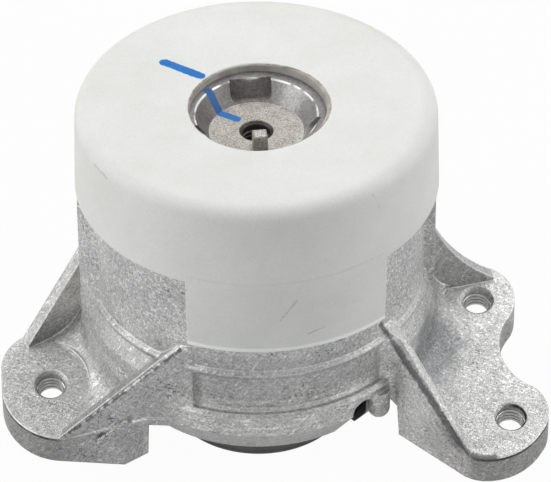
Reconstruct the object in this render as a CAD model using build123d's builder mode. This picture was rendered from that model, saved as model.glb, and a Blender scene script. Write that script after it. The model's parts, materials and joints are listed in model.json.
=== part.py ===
from build123d import *
from math import cos, hypot, radians, sin
import os

# A hydraulic engine mount: a die-cast housing with three threaded feet, a rubber
# spring with its conical core inside, and a rubber heat-shield cap over the top.
# +Z is the axis of the cylinder, z = 0 the underside of the bottom cover,
# -Y the side with the cap's apron. Millimetres.

os.makedirs("parts", exist_ok=True)

# Sizes of the whole mount
cap_top_height = 115.0
cap_rim_height = 87.0
apron_bottom_height = 63.3
feet_height = 33.0          # where the feet's top plane crosses the axis
feet_lean = 16.5            # the feet's plane falls toward -Y by this angle
foot_thickness = 8.7

# Threads: one M10 in the core, three M10 in the feet
thread_radius = 4.25
thread_mouth_radius = 5.2

# Heat-shield cap
cap_radius_top = 53.5
cap_radius_rim = cap_radius_top + 0.7
cap_wall = 2.2
cap_edge_radius = 5.0
cap_hole_radii = (20.3, 21.4)  # the moulded hole is slightly oval
cap_hole_offset = 0.5
cap_hole_rounding = 0.6
cap_dish = 2.3              # how far the hole's edge lies under the outer edge
apron_start = -112.5        # azimuths of the apron's two ends
apron_end = -45.7
apron_bottom_radius = cap_radius_top + 0.1

# Core: a conical cup with a flange at the top and a stop flange lower down
core_flange_radius = 26.0
core_flange_thickness = 3.4
cup_rim_radius = 18.1
cup_floor_radius = 14.1
cup_depth = 6.0
core_neck_radius = 21.5
stop_flange_radius = 35.0
stop_flange_thickness = 5.0
core_cone_top_radius = 20.0
core_tip_radius = 11.0
core_tip_height = 55.0
cup_pocket_width = 12.4
cup_pocket_bottom = 0.4     # the pockets' floor above the cup's floor
cup_pocket_slope = 1.5      # how far the pockets' back leans inward at the floor
cup_pocket_azimuths = (96, 216, 336)
insert_head_thickness = 3.0
insert_shank_radius = 8.0
insert_length = 29.0
lug_width = 4.2
lug_depth = 4.0
lug_height = 5.5
lug_distance = 8.6
lug_azimuth = 277

# Housing
body_radius = cap_radius_top - 3.5
bore_radius = body_radius - 3.5
body_top_height = cap_top_height - 13.0
swage_lip = 2.0             # thickness of the two rolled-over lips
ledge_height = 52.5         # small ledge round the body, under the apron
ledge_radius = body_radius + 1.2
ledge_thickness = 2.2
recess_radius = body_radius - 1.0
collar_height = 37.2        # top of the lower collar
collar_radius = body_radius + 2.3
lower_bore_radius = body_radius - 7.0
land_width = 3.0            # inner flange between the spring and the hydraulic stack
lip_radius = body_radius - 7.4
lip_height = 17.2
lip_opening_radius = lower_bore_radius - 5.0
flare_radius = 11.0         # fillet between the feet and the body

# Stop ring, spring and its outer ring
stop_ring_thickness = 3.0
stop_ring_hole_radius = 28.0
outer_ring_wall = 2.6
outer_ring_bottom_height = 41.0
rebound_gap = 2.5
buffer_thickness = 2.0
buffer_radii = (24.0, 33.5)
spring_skin = 1.6           # rubber under the core's tip

# Hydraulic stack under the spring
stack_top_height = 38.5
seal_thickness = 1.5
upper_plate_thickness = 6.5
lower_plate_thickness = 5.0
bellows_ring_thickness = 2.0
bellows_wall = 1.8
track_radius = lower_bore_radius - 8.0  # mean radius of the channel between the plates
track_width = 5.0
track_depth = 3.8
membrane_radius = 22.0
membrane_thickness = 2.6
membrane_play = 0.4
grid_hole_radius = 2.0
grid_rows = ((8.0, 6), (15.5, 10))
port_radius = 2.2
track_start = 20.0          # azimuths of the channel's two ends
track_end = 320.0
pin_radius = 1.5
pin_azimuths = (60, 215)
stack_fit = 0.1             # radial play of the stack in the housing

# Bottom cover
cover_sheet = 1.5
cover_wall_radius = lip_opening_radius - 2.5
cover_bottom_radius = cover_wall_radius - 7.2
cover_corner = 3.0
vent_radius = 2.5
vent_distance = 16.0

# Heights that follow from the sizes above
core_top_height = cap_top_height - cap_dish - 2.9
cup_floor_height = core_top_height - cup_depth
stop_ring_height = body_top_height - swage_lip - stop_ring_thickness
stop_flange_top = stop_ring_height - rebound_gap - buffer_thickness
stop_flange_bottom = stop_flange_top - stop_flange_thickness
upper_plate_top = stack_top_height - seal_thickness
upper_plate_bottom = upper_plate_top - upper_plate_thickness
lower_plate_bottom = upper_plate_bottom - lower_plate_thickness
bellows_ring_bottom = lower_plate_bottom - bellows_ring_thickness
bellows_flange_bottom = bellows_ring_bottom - bellows_wall
cover_flange_bottom = bellows_flange_bottom - cover_sheet
land_radius = lower_bore_radius - land_width
stack_radius = lower_bore_radius - stack_fit
outer_ring_bore = bore_radius - outer_ring_wall
head_bottom_height = cup_floor_height - insert_head_thickness
pin_distance = (membrane_radius + membrane_play + track_radius - track_width / 2) / 2
insert_bottom_height = cup_floor_height - insert_length


def turned(points):
    """A solid of revolution about Z from the (radius, height) corners of its section."""
    with BuildPart() as ring:
        with BuildSketch(Plane.XZ):
            with BuildLine():
                Polyline(*points, close=True)
            make_face()
        revolve(axis=Axis.Z)
    return ring.part


def at(radius, azimuth, height=0.0):
    """The point at this radius, azimuth and height about the mount's axis."""
    return Vector(radius * cos(radians(azimuth)), radius * sin(radians(azimuth)), height)


# The plane of the feet's top faces, with its x axis along +X
feet_normal = Vector(0, -sin(radians(feet_lean)), cos(radians(feet_lean)))
feet_plane = Plane(origin=(0, 0, feet_height), x_dir=(1, 0, 0), z_dir=feet_normal)

# Places of the three foot threads in that plane
left_hole = (-62.8, -24.6)
back_right_hole = (67.1, 5.2)
front_right_hole = (75.8, -37.2)

# Arms: the feet with the fillets and ribs that carry them
left_front_corner = (-60.0, -42.0)
left_wall_root = (-20.5, -44.8)
right_block_corner = (42.2, -33.7)
right_block_front = (61.6, -48.1)
right_wall_root = (36.0, -34.7)
arm_root_radius = body_radius + 2.8  # the arms thicken the body up to a shoulder
arm_root_height = 46.5
rib_thickness = 3.2
right_wall_thickness = 2.4
back_rib_thickness = 4.2
left_ridge_height = 61.5    # where the front ribs meet the body
right_ridge_height = 56.6
back_ridge_height = 64.0
seat_radius = 11.8
under_arm_height = 29.0     # underside of the arms between their blocks and the body
left_block_end = -33.3
left_block_corner = (-40.4, -43.4)
strip_bottom_height = 31.0  # the two upright strips on the body's sides
strip_top_height = body_top_height - 18.0
strip_radius = body_radius + 3.4
left_strip = (
    (-strip_radius, -5.0), (-strip_radius, -9.5), (2.6 - strip_radius, -13.5),
    (8.4 - strip_radius, -18.5), (11.4 - strip_radius, -5.0),
)
right_strip = (
    (strip_radius, -2.0), (strip_radius, 5.0), (strip_radius - 9.4, 5.0), (strip_radius - 9.4, -2.0),
)
notch_azimuth = -52.6
notch_radius = 3.8
notch_top_height = 34.0
hook_radius = 3.4
hook_distance = collar_radius - 1.7
hook_azimuth = -44.7
hook_bottom_height = 23.6
hook_top_height = 33.5

# the feet's outlines, seen along the mount's axis
with BuildSketch() as feet_outline:
    with BuildLine():
        l1 = Line((-10, -30), left_wall_root)
        l2 = Line(l1 @ 1, left_front_corner)
        l3 = ThreePointArc(l2 @ 1, (-72.0, -36.6), (-77.6, -21.0))
        l4 = ThreePointArc(l3 @ 1, (-77.3, -13.6), (-71.8, -7.2))
        l5 = Line(l4 @ 1, (-35.6, 13.3))
        Line(l5 @ 1, l1 @ 0)
    make_face()
    with BuildLine():
        r1 = Line((30, 10), (30, -20))
        r2 = Line(r1 @ 1, right_wall_root)
        r3 = Line(r2 @ 1, right_block_corner)
        r4 = Line(r3 @ 1, right_block_front)
        r5 = ThreePointArc(r4 @ 1, (64.6, -49.4), (68.0, -49.9))
        r6 = ThreePointArc(r5 @ 1, (78.7, -46.9), (84.9, -40.6))
        r7 = ThreePointArc(r6 @ 1, (87.3, -33.6), (83.2, -25.6))
        r8 = ThreePointArc(r7 @ 1, (73.6, -14.0), (75.8, -2.0))
        r9 = ThreePointArc(r8 @ 1, (78.5, 7.2), (71.5, 16.2))
        r10 = Line(r9 @ 1, (37.1, 8.5))
        Line(r10 @ 1, r1 @ 0)
    make_face()

# plates that stand on the feet's edges: front walls and back ribs
left_wall_plane = Plane(
    origin=(*left_front_corner, 0),
    x_dir=Vector(*left_wall_root) - Vector(*left_front_corner),
    z_dir=(Vector(*left_wall_root) - Vector(*left_front_corner)).cross(Vector(0, 0, 1)),
)
left_wall_length = (Vector(*left_wall_root) - Vector(*left_front_corner)).length
right_wall_plane = Plane(
    origin=(*right_block_front, 0),
    x_dir=Vector(*right_block_front) - Vector(*right_block_corner),
    z_dir=(Vector(*right_block_front) - Vector(*right_block_corner)).cross(Vector(0, 0, 1)),
)
right_wall_length = 28.2
left_rib_plane = Plane(
    origin=(-71.8, -7.2, 0), x_dir=(26.8, 15.2, 0), z_dir=(15.2, -26.8, 0)
)
right_rib_plane = Plane(
    origin=(71.5, 16.2, 0), x_dir=(25.5, 5.7, 0), z_dir=(5.7, -25.5, 0)
)

with BuildPart() as arms:
    # one slab between the feet's two planes, the arms' root, and the large fillet between
    with BuildSketch(feet_plane):
        Circle(110)
    extrude(amount=-foot_thickness)
    with Locations(Location((0, 0, 0), (0, 0, 90))):
        Cylinder(arm_root_radius, 90, align=(Align.CENTER, Align.CENTER, Align.MIN))
    flare_edge = [
        edge
        for edge in arms.edges()
        if abs(feet_plane.to_local_coords(edge @ 0.3).Z) < 0.01
        and abs(hypot((edge @ 0.3).X, (edge @ 0.3).Y) - arm_root_radius) < 0.01
    ]
    fillet(flare_edge, radius=flare_radius)
    # the shoulder at the root's top
    with BuildSketch(Plane.XZ):
        with BuildLine():
            Polyline(
                (body_radius - 1, arm_root_height + 5), (body_radius, arm_root_height + 5),
                (arm_root_radius, arm_root_height - 2), (arm_root_radius + 40, arm_root_height - 2),
                (arm_root_radius + 40, 100), (body_radius - 1, 100), close=True,
            )
        make_face()
    revolve(axis=Axis.Z, mode=Mode.SUBTRACT)
    # front walls, which rise from the feet to the body, and back ribs; the outline trims
    # their outer sides
    with BuildSketch(left_wall_plane.offset(6)):
        with BuildLine():
            Polyline(
                (0, 11), (0, 20.6), (left_wall_length, left_ridge_height),
                (left_wall_length + 9, left_ridge_height), (left_wall_length + 9, 11), close=True,
            )
        make_face()
    extrude(amount=-rib_thickness - 6)
    with BuildSketch(right_wall_plane.offset(6)):
        with BuildLine():
            Polyline(
                (2, 11), (2, 17.8), (-right_wall_length, right_ridge_height),
                (-right_wall_length - 9, right_ridge_height), (-right_wall_length - 9, 11), close=True,
            )
        make_face()
    extrude(amount=-right_wall_thickness - 6)
    with BuildSketch(left_rib_plane.offset(-6)):
        with BuildLine():
            Polyline((0, 21), (0, 30.8), (24.5, back_ridge_height), (36, back_ridge_height), (36, 21), close=True)
        make_face()
    extrude(amount=back_rib_thickness + 6)
    with BuildSketch(right_rib_plane.offset(-6)):
        with BuildLine():
            b1 = Line((0, 27), (0, 37.6))
            b2 = ThreePointArc(b1 @ 1, (-10.0, 45.8), (-20.5, back_ridge_height))
            b3 = Line(b2 @ 1, (-34, back_ridge_height))
            b4 = Line(b3 @ 1, (-34, 27))
            Line(b4 @ 1, b1 @ 0)
        make_face()
    extrude(amount=back_rib_thickness + 6)
    extrude(feet_outline.sketch, amount=90, mode=Mode.INTERSECT)
    # nothing below the arms next to the body; the blocks' inner ends
    with BuildSketch():
        with BuildLine():
            Polyline(
                (left_block_corner[0] - 1, -60), left_block_corner, (left_block_end, -39.4),
                (left_block_end, -20), (-30, 30), (30, 30), (right_block_corner[0], -20),
                (right_block_corner[0], -60), close=True,
            )
        make_face()
    extrude(amount=under_arm_height, mode=Mode.SUBTRACT)
    # nothing stands out below the feet's underside
    with BuildSketch(feet_plane.offset(-foot_thickness)):
        Circle(110)
    extrude(amount=-60, mode=Mode.SUBTRACT)

# the front walls' flanks lean outward from the ridge; each is drawn at its two ends, as
# (distance outside the wall, height)
left_wall_along = (Vector(*left_wall_root) - Vector(*left_front_corner)).normalized()
left_wall_out = left_wall_along.cross(Vector(0, 0, 1))
right_wall_along = (Vector(*right_block_corner) - Vector(*right_block_front)).normalized()
right_wall_out = Vector(0, 0, 1).cross(right_wall_along)


def flank(start, along, out, sections):
    """A ruled wedge along a wall through sections at these distances from its start."""
    with BuildPart() as wedge:
        for distance, section in sections:
            place = Vector(*start) + along * distance
            with BuildSketch(Plane(origin=place, x_dir=out, z_dir=out.cross(Vector(0, 0, 1)))):
                with BuildLine():
                    Polyline(*section, close=True)
                make_face()
        loft(ruled=True)
    return wedge.part


left_flank = flank(
    left_front_corner, left_wall_along, left_wall_out,
    (
        (1.5, ((-1.5, 21.6), (0.0, 21.2), (0.1, 20.6), (0.05, 20.2), (0.1, 20.1), (0.1, 19.8), (-1.5, 19.8))),
        (27.0, ((-1.5, 47.8), (0.4, 47.0), (1.5, 41.0), (1.9, 32.0), (2.5, 31.5), (2.7, 29.6), (-1.5, 29.6))),
        (37.5, ((-1.5, 59.4), (0.6, 58.6), (1.6, 51.0), (2.0, 32.4), (2.6, 31.9), (2.8, 29.8), (-1.5, 29.8))),
        (41.0, ((-1.5, 60.8), (1.2, 59.5), (1.9, 51.0), (2.1, 32.6), (2.7, 32.1), (2.9, 30.0), (-1.5, 30.0))),
    ),
)
right_flank = flank(
    right_block_front, right_wall_along, right_wall_out,
    (
        (1.0, ((-1.5, 21.2), (-0.3, 21.2), (0.3, 20.6), (0.4, 18.0), (0.1, 12.2), (-1.5, 12.2))),
        (7.0, ((-1.5, 29.2), (-0.1, 29.2), (1.9, 27.4), (2.3, 24.6), (0.15, 13.0), (-1.5, 13.0))),
        (24.1, ((-1.5, 51.0), (-0.1, 51.0), (2.0, 49.2), (2.6, 46.4), (0.2, 16.5), (-1.5, 16.5))),
        (24.5, ((-1.5, 51.5), (0.0, 51.5), (2.1, 49.7), (2.7, 46.9), (0.6, 25.5), (-1.5, 25.5))),
        (26.2, ((-1.5, 53.6), (0.2, 53.6), (2.6, 51.8), (3.3, 48.9), (2.0, 28.6), (-1.5, 28.6))),
        (28.6, ((-1.5, 56.4), (0.6, 56.4), (3.4, 54.6), (4.3, 51.4), (4.0, 30.0), (-1.5, 30.0))),
    ),
)

with BuildPart() as housing:
    # body: upper wall, ledge, recessed band and lower collar, with its two rolled lips
    with BuildSketch(Plane.XZ):
        with BuildLine():
            Polyline(
                (bore_radius - 4, body_top_height),
                (body_radius - 1.2, body_top_height),
                (body_radius, body_top_height - 1.2),
                (body_radius, ledge_height + 0.5),
                (ledge_radius - 0.5, ledge_height),
                (ledge_radius, ledge_height - 0.7),
                (ledge_radius - 0.5, ledge_height - ledge_thickness),
                (recess_radius, ledge_height - ledge_thickness - 1.2),
                (recess_radius, collar_height + 0.8),
                (recess_radius + 0.8, collar_height),
                (collar_radius - 1, collar_height),
                (collar_radius, collar_height - 1),
                (collar_radius - 0.8, collar_height - 8.2),
                (lip_radius, lip_height),
                (lip_opening_radius, lip_height),
                (lip_opening_radius, cover_flange_bottom),
                (lower_bore_radius, cover_flange_bottom),
                (lower_bore_radius, stack_top_height),
                (land_radius, stack_top_height),
                (land_radius, outer_ring_bottom_height),
                (bore_radius, outer_ring_bottom_height),
                (bore_radius, body_top_height - swage_lip),
                (bore_radius - 4, body_top_height - swage_lip),
                close=True,
            )
        make_face()
    revolve(axis=Axis.Z)
    add(arms.part)
    add(left_flank)
    add(right_flank)
    # upright strips on both sides of the body
    for strip in (left_strip, right_strip):
        with BuildSketch(Plane.XY.offset(strip_bottom_height)):
            with BuildLine():
                Polyline(*strip, close=True)
            make_face()
        extrude(amount=strip_top_height - strip_bottom_height)
    # hook beside the notch
    with Locations(at(hook_distance, hook_azimuth, hook_bottom_height + hook_radius)):
        Cylinder(
            hook_radius, hook_top_height - hook_bottom_height - hook_radius,
            align=(Align.CENTER, Align.CENTER, Align.MIN),
        )
        Sphere(hook_radius)
    # the bore and the cavity for the hydraulic stack
    with BuildSketch(Plane.XZ):
        with BuildLine():
            Polyline(
                (0, -1), (lip_opening_radius, -1), (lip_opening_radius, cover_flange_bottom),
                (lower_bore_radius, cover_flange_bottom), (lower_bore_radius, stack_top_height),
                (land_radius, stack_top_height),
                (land_radius, outer_ring_bottom_height),
                (bore_radius, outer_ring_bottom_height), (bore_radius, body_top_height - swage_lip),
                (bore_radius - 4, body_top_height - swage_lip), (bore_radius - 4, body_top_height + 1),
                (0, body_top_height + 1), close=True,
            )
        make_face()
    revolve(axis=Axis.Z, mode=Mode.SUBTRACT)
    # seats machined round the left hole and the back right hole, then the threads
    with BuildSketch(feet_plane):
        with Locations(left_hole):
            Circle(seat_radius)
        with BuildLine():
            a1 = Line((-66, -9.6), (-62.3, -8.8))
            a2 = ThreePointArc(a1 @ 1, (-53.5, -15.8), (-51.0, -24.6))
            a3 = Line(a2 @ 1, (-66, -24.6))
            Line(a3 @ 1, a1 @ 0)
        make_face()
        with BuildLine():
            Polyline(
                (57.5, 9.4), (56.2, 7.0), (58.7, -0.8), (63, -6.4), (74, -9), (90, 0), (90, 12),
                (74, 13.0), close=True,
            )
        make_face()
    extrude(amount=9, mode=Mode.SUBTRACT)
    with Locations(feet_plane):
        with Locations(left_hole, back_right_hole, front_right_hole):
            CounterSinkHole(thread_radius, thread_mouth_radius, 3 * foot_thickness, counter_sink_angle=90)
    # arched notch through the lower wall, and the cast slot mark on the left front wall
    notch_centre = notch_top_height - notch_radius
    with BuildSketch(
        Plane(
            origin=at(land_radius, notch_azimuth, notch_centre),
            x_dir=at(1, notch_azimuth + 90),
            z_dir=at(1, notch_azimuth),
        )
    ):
        Circle(notch_radius)
        with Locations((0, -10)):
            Rectangle(2 * notch_radius, 20)
    extrude(amount=20, mode=Mode.SUBTRACT)
    with BuildSketch(left_wall_plane.offset(-0.5)):
        with Locations((17.0, 25.3)):
            SlotOverall(13.4, 2.2, rotation=41)
    extrude(amount=2.8)
housing.part.label = "housing"
export_step(housing.part, "parts/housing.step")

with BuildPart() as heat_shield_cap:
    # top and wall, turned in one section; the underside near the hole lies flat on the core
    with BuildSketch(Plane.XZ):
        with BuildLine():
            c1 = Line((15, core_top_height), (15, cap_top_height - cap_dish - 0.5))
            c2 = Line(c1 @ 1, (cap_radius_top - cap_edge_radius, cap_top_height))
            c3 = RadiusArc(c2 @ 1, (cap_radius_top, cap_top_height - cap_edge_radius), cap_edge_radius)
            c4 = Line(c3 @ 1, (cap_radius_rim, cap_rim_height))
            c5 = Line(c4 @ 1, (cap_radius_rim - cap_wall, cap_rim_height))
            c6 = Line(c5 @ 1, (cap_radius_top - cap_wall, cap_top_height - cap_edge_radius))
            c7 = RadiusArc(
                c6 @ 1,
                (cap_radius_top - cap_edge_radius, cap_top_height - cap_wall),
                -(cap_edge_radius - cap_wall),
            )
            c8 = Line(c7 @ 1, (core_flange_radius, core_top_height))
            Line(c8 @ 1, c1 @ 0)
        make_face()
    revolve(axis=Axis.Z)
    # apron: the wall runs on down over the front of the housing
    apron_plane = Plane(origin=(0, 0, 0), x_dir=at(1, apron_start), z_dir=at(1, apron_start - 90))
    with BuildSketch(apron_plane):
        with BuildLine():
            Polyline(
                (cap_radius_rim, cap_rim_height + 2),
                (apron_bottom_radius, apron_bottom_height),
                (apron_bottom_radius - cap_wall, apron_bottom_height),
                (cap_radius_rim - cap_wall, cap_rim_height + 2),
                close=True,
            )
        make_face()
    revolve(axis=Axis.Z, revolution_arc=apron_end - apron_start)
    with BuildSketch(Plane.XY.offset(core_top_height - 1)):
        with Locations((cap_hole_offset, 0)):
            Ellipse(*cap_hole_radii)
    extrude(amount=10, mode=Mode.SUBTRACT)
    hole_edge = [
        edge
        for edge in heat_shield_cap.edges()
        if (edge @ 0.3).Z > cap_top_height - cap_dish - 0.5
        and hypot((edge @ 0.3).X, (edge @ 0.3).Y) < cap_hole_radii[1] + 1
    ]
    fillet(hole_edge, radius=cap_hole_rounding)
heat_shield_cap.part.label = "heat_shield_cap"
export_step(heat_shield_cap.part, "parts/heat_shield_cap.step")

# Core: flange under the cap, cup, stop flange and the cone the rubber is bonded to
with BuildPart() as core:
    add(
        turned(
            [
                (cup_floor_radius, cup_floor_height), (cup_rim_radius, core_top_height),
                (core_flange_radius, core_top_height),
                (core_flange_radius, core_top_height - core_flange_thickness),
                (core_neck_radius, core_top_height - core_flange_thickness),
                (core_neck_radius, stop_flange_top), (stop_flange_radius, stop_flange_top),
                (stop_flange_radius, stop_flange_bottom),
                (core_cone_top_radius, stop_flange_bottom), (core_tip_radius, core_tip_height),
                (0, core_tip_height), (0, insert_bottom_height),
                (insert_shank_radius, insert_bottom_height),
                (insert_shank_radius, head_bottom_height), (cup_floor_radius, head_bottom_height),
            ]
        )
    )
    # three pockets in the cup's wall, with backs that lean inward toward the floor
    pocket_low = cup_floor_height + cup_pocket_bottom
    for azimuth in cup_pocket_azimuths:
        pocket_plane = Plane(
            origin=at(cup_floor_radius - 3, azimuth), x_dir=at(1, azimuth + 90), z_dir=at(1, azimuth)
        )
        with BuildPart(mode=Mode.PRIVATE) as pocket:
            with BuildSketch(pocket_plane):
                with Locations((0, pocket_low)):
                    Rectangle(cup_pocket_width, 12, align=(Align.CENTER, Align.MIN))
                fillet(vertices().group_by(Axis.Z)[0], radius=2.4)
            extrude(amount=cup_rim_radius - cup_floor_radius + 3.0)
            with BuildSketch(Plane(origin=(0, 0, 0), x_dir=at(1, azimuth), z_dir=at(1, azimuth - 90))):
                with BuildLine():
                    Polyline(
                        (cup_floor_radius + cup_pocket_slope, pocket_low),
                        (cup_rim_radius, core_top_height), (cup_rim_radius, core_top_height + 9),
                        (0, core_top_height + 9), (0, pocket_low), close=True,
                    )
                make_face()
            extrude(amount=cup_pocket_width, both=True, mode=Mode.INTERSECT)
        add(pocket.part, mode=Mode.SUBTRACT)
core.part.label = "core"
export_step(core.part, "parts/core.step")

# Steel insert with the M10 thread and its locating lug
with BuildPart() as core_insert:
    add(
        turned(
            [
                (0, insert_bottom_height), (insert_shank_radius, insert_bottom_height),
                (insert_shank_radius, head_bottom_height), (cup_floor_radius, head_bottom_height),
                (cup_floor_radius, cup_floor_height), (0, cup_floor_height),
            ]
        )
    )
    lug_plane = Plane(origin=at(lug_distance, lug_azimuth, cup_floor_height), x_dir=at(1, lug_azimuth))
    with BuildSketch(lug_plane):
        Rectangle(lug_depth, lug_width)
    extrude(amount=lug_height)
    fillet(core_insert.edges().group_by(Axis.Z)[-1], radius=0.6)
    with Locations((0, 0, cup_floor_height)):
        CounterSinkHole(
            thread_radius, thread_mouth_radius, insert_length + 1, counter_sink_angle=90
        )
core_insert.part.label = "core_insert"
export_step(core_insert.part, "parts/core_insert.step")

# Rubber spring, bonded between the core's cone and the outer ring
with BuildPart() as main_spring:
    with BuildSketch(Plane.XZ):
        with BuildLine():
            s1 = Line((core_cone_top_radius, stop_flange_bottom), (stop_flange_radius - 7, stop_flange_bottom))
            s2 = ThreePointArc(
                s1 @ 1, (outer_ring_bore - 8, stop_flange_bottom - 10), (outer_ring_bore, stop_flange_bottom - 13)
            )
            s3 = Line(s2 @ 1, (outer_ring_bore, outer_ring_bottom_height))
            s4 = Line(s3 @ 1, (land_radius + 1.5, outer_ring_bottom_height))
            s5 = ThreePointArc(
                s4 @ 1,
                (land_radius - 12, core_tip_height + 1.5),
                (core_tip_radius + 1, core_tip_height - spring_skin),
            )
            s6 = Line(s5 @ 1, (0, core_tip_height - spring_skin))
            s7 = Line(s6 @ 1, (0, core_tip_height))
            s8 = Line(s7 @ 1, (core_tip_radius, core_tip_height))
            Line(s8 @ 1, s1 @ 0)
        make_face()
    revolve(axis=Axis.Z)
main_spring.part.label = "main_spring"
export_step(main_spring.part, "parts/main_spring.step")

# Steel ring round the spring
outer_ring = turned(
    [
        (outer_ring_bore, outer_ring_bottom_height), (bore_radius, outer_ring_bottom_height),
        (bore_radius, stop_ring_height), (outer_ring_bore, stop_ring_height),
    ]
)
outer_ring.label = "outer_ring"
export_step(outer_ring, "parts/outer_ring.step")

# Stop ring, clamped under the rolled-over rim of the housing
stop_ring = turned(
    [
        (stop_ring_hole_radius, stop_ring_height), (bore_radius, stop_ring_height),
        (bore_radius, stop_ring_height + stop_ring_thickness),
        (stop_ring_hole_radius, stop_ring_height + stop_ring_thickness),
    ]
)
stop_ring.label = "stop_ring"
export_step(stop_ring, "parts/stop_ring.step")

# Rubber buffer on the core's stop flange
rebound_buffer = turned(
    [
        (buffer_radii[0], stop_flange_top), (buffer_radii[1], stop_flange_top),
        (buffer_radii[1] - 1, stop_flange_top + buffer_thickness),
        (buffer_radii[0] + 1, stop_flange_top + buffer_thickness),
    ]
)
rebound_buffer.label = "rebound_buffer"
export_step(rebound_buffer, "parts/rebound_buffer.step")

# Seal between the housing's inner flange and the upper channel plate
seal_ring = turned(
    [
        (land_radius - 1, upper_plate_top), (stack_radius, upper_plate_top),
        (stack_radius, stack_top_height), (land_radius - 1, stack_top_height),
    ]
)
seal_ring.label = "seal_ring"
export_step(seal_ring, "parts/seal_ring.step")

# Upper channel plate: pocket for the membrane, ring channel and grid
with BuildPart() as upper_channel_plate:
    with Locations((0, 0, upper_plate_bottom)):
        Cylinder(stack_radius, upper_plate_thickness, align=(Align.CENTER, Align.CENTER, Align.MIN))
        Cylinder(
            membrane_radius + membrane_play, membrane_thickness + membrane_play,
            align=(Align.CENTER, Align.CENTER, Align.MIN), mode=Mode.SUBTRACT,
        )
    track_plane = Plane(origin=(0, 0, 0), x_dir=at(1, track_start), z_dir=at(1, track_start - 90))
    with BuildSketch(track_plane):
        with Locations((track_radius, upper_plate_bottom - 1)):
            Rectangle(track_width, track_depth + 1, align=(Align.CENTER, Align.MIN))
    revolve(axis=Axis.Z, revolution_arc=track_end - track_start, mode=Mode.SUBTRACT)
    with Locations(at(track_radius, track_start + 4, upper_plate_top)):
        Hole(port_radius)
    with Locations((0, 0, upper_plate_top)):
        Hole(grid_hole_radius)
    for row_radius, count in grid_rows:
        with Locations((0, 0, upper_plate_top)):
            with PolarLocations(row_radius, count):
                Hole(grid_hole_radius)
    for azimuth in pin_azimuths:
        with Locations(at(pin_distance, azimuth, upper_plate_bottom)):
            Cylinder(
                pin_radius, 4, align=(Align.CENTER, Align.CENTER, Align.MIN), mode=Mode.SUBTRACT
            )
upper_channel_plate.part.label = "upper_channel_plate"
export_step(upper_channel_plate.part, "parts/upper_channel_plate.step")

# Lower channel plate: closes the channel, with the same grid and the channel's outlet
with BuildPart() as lower_channel_plate:
    with Locations((0, 0, lower_plate_bottom)):
        Cylinder(stack_radius, lower_plate_thickness, align=(Align.CENTER, Align.CENTER, Align.MIN))
    with Locations(at(track_radius, track_end - 4, upper_plate_bottom)):
        Hole(port_radius)
    with Locations((0, 0, upper_plate_bottom)):
        Hole(grid_hole_radius)
    for row_radius, count in grid_rows:
        with Locations((0, 0, upper_plate_bottom)):
            with PolarLocations(row_radius, count):
                Hole(grid_hole_radius)
    for azimuth in pin_azimuths:
        with Locations(at(pin_distance, azimuth, upper_plate_bottom)):
            Cylinder(
                pin_radius, 4, align=(Align.CENTER, Align.CENTER, Align.MAX), mode=Mode.SUBTRACT
            )
lower_channel_plate.part.label = "lower_channel_plate"
export_step(lower_channel_plate.part, "parts/lower_channel_plate.step")

# Rubber decoupler membrane, loose in its pocket between the two grids
decoupler_membrane = turned(
    [
        (0, upper_plate_bottom), (membrane_radius, upper_plate_bottom),
        (membrane_radius, upper_plate_bottom + membrane_thickness),
        (0, upper_plate_bottom + membrane_thickness),
    ]
)
decoupler_membrane.label = "decoupler_membrane"
export_step(decoupler_membrane, "parts/decoupler_membrane.step")

# Two steel pins that key the channel plates together
with BuildPart() as locating_pins:
    for azimuth in pin_azimuths:
        with Locations(at(pin_distance, azimuth, upper_plate_bottom)):
            Cylinder(pin_radius, 8)
locating_pins.part.label = "locating_pins"
export_step(locating_pins.part, "parts/locating_pins.step")

# Steel ring that clamps the bellows
bellows_ring = turned(
    [
        (cover_wall_radius - 1, bellows_ring_bottom), (stack_radius, bellows_ring_bottom),
        (stack_radius, lower_plate_bottom), (cover_wall_radius - 1, lower_plate_bottom),
    ]
)
bellows_ring.label = "bellows_ring"
export_step(bellows_ring, "parts/bellows_ring.step")

# Rubber bellows that closes the lower chamber
bellows = turned(
    [
        (stack_radius, bellows_ring_bottom), (cover_wall_radius - 4.4, bellows_ring_bottom),
        (cover_wall_radius - 7.8, 10.8), (22.2, 9.2), (15.6, 14.3), (0, 16.0),
        (0, 16.0 - bellows_wall), (15.0, 14.3 - bellows_wall), (22.0, 9.2 - bellows_wall),
        (cover_wall_radius - 6.4, 10.8 - bellows_wall),
        (cover_wall_radius - 2.8, bellows_flange_bottom), (stack_radius, bellows_flange_bottom),
    ]
)
bellows.label = "bellows"
export_step(bellows, "parts/bellows.step")

# Pressed steel cover under the bellows, held by the housing's lower lip
with BuildPart() as bottom_cover:
    with BuildSketch(Plane.XZ):
        with BuildLine():
            k1 = Line((0, 0), (cover_bottom_radius - cover_corner, 0))
            k2 = RadiusArc(k1 @ 1, (cover_bottom_radius, cover_corner), -cover_corner)
            k3 = Line(k2 @ 1, (cover_wall_radius, cover_flange_bottom))
            k4 = Line(k3 @ 1, (stack_radius, cover_flange_bottom))
            k5 = Line(k4 @ 1, (stack_radius, bellows_flange_bottom))
            k6 = Line(k5 @ 1, (cover_wall_radius - cover_sheet + 0.2, bellows_flange_bottom))
            k7 = Line(k6 @ 1, (cover_bottom_radius - cover_sheet, cover_corner))
            k8 = RadiusArc(
                k7 @ 1, (cover_bottom_radius - cover_corner, cover_sheet), cover_corner - cover_sheet
            )
            k9 = Line(k8 @ 1, (0, cover_sheet))
            Line(k9 @ 1, k1 @ 0)
        make_face()
    revolve(axis=Axis.Z)
    with Locations((0, vent_distance, cover_sheet)):
        Hole(vent_radius)
bottom_cover.part.label = "bottom_cover"
export_step(bottom_cover.part, "parts/bottom_cover.step")
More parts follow.
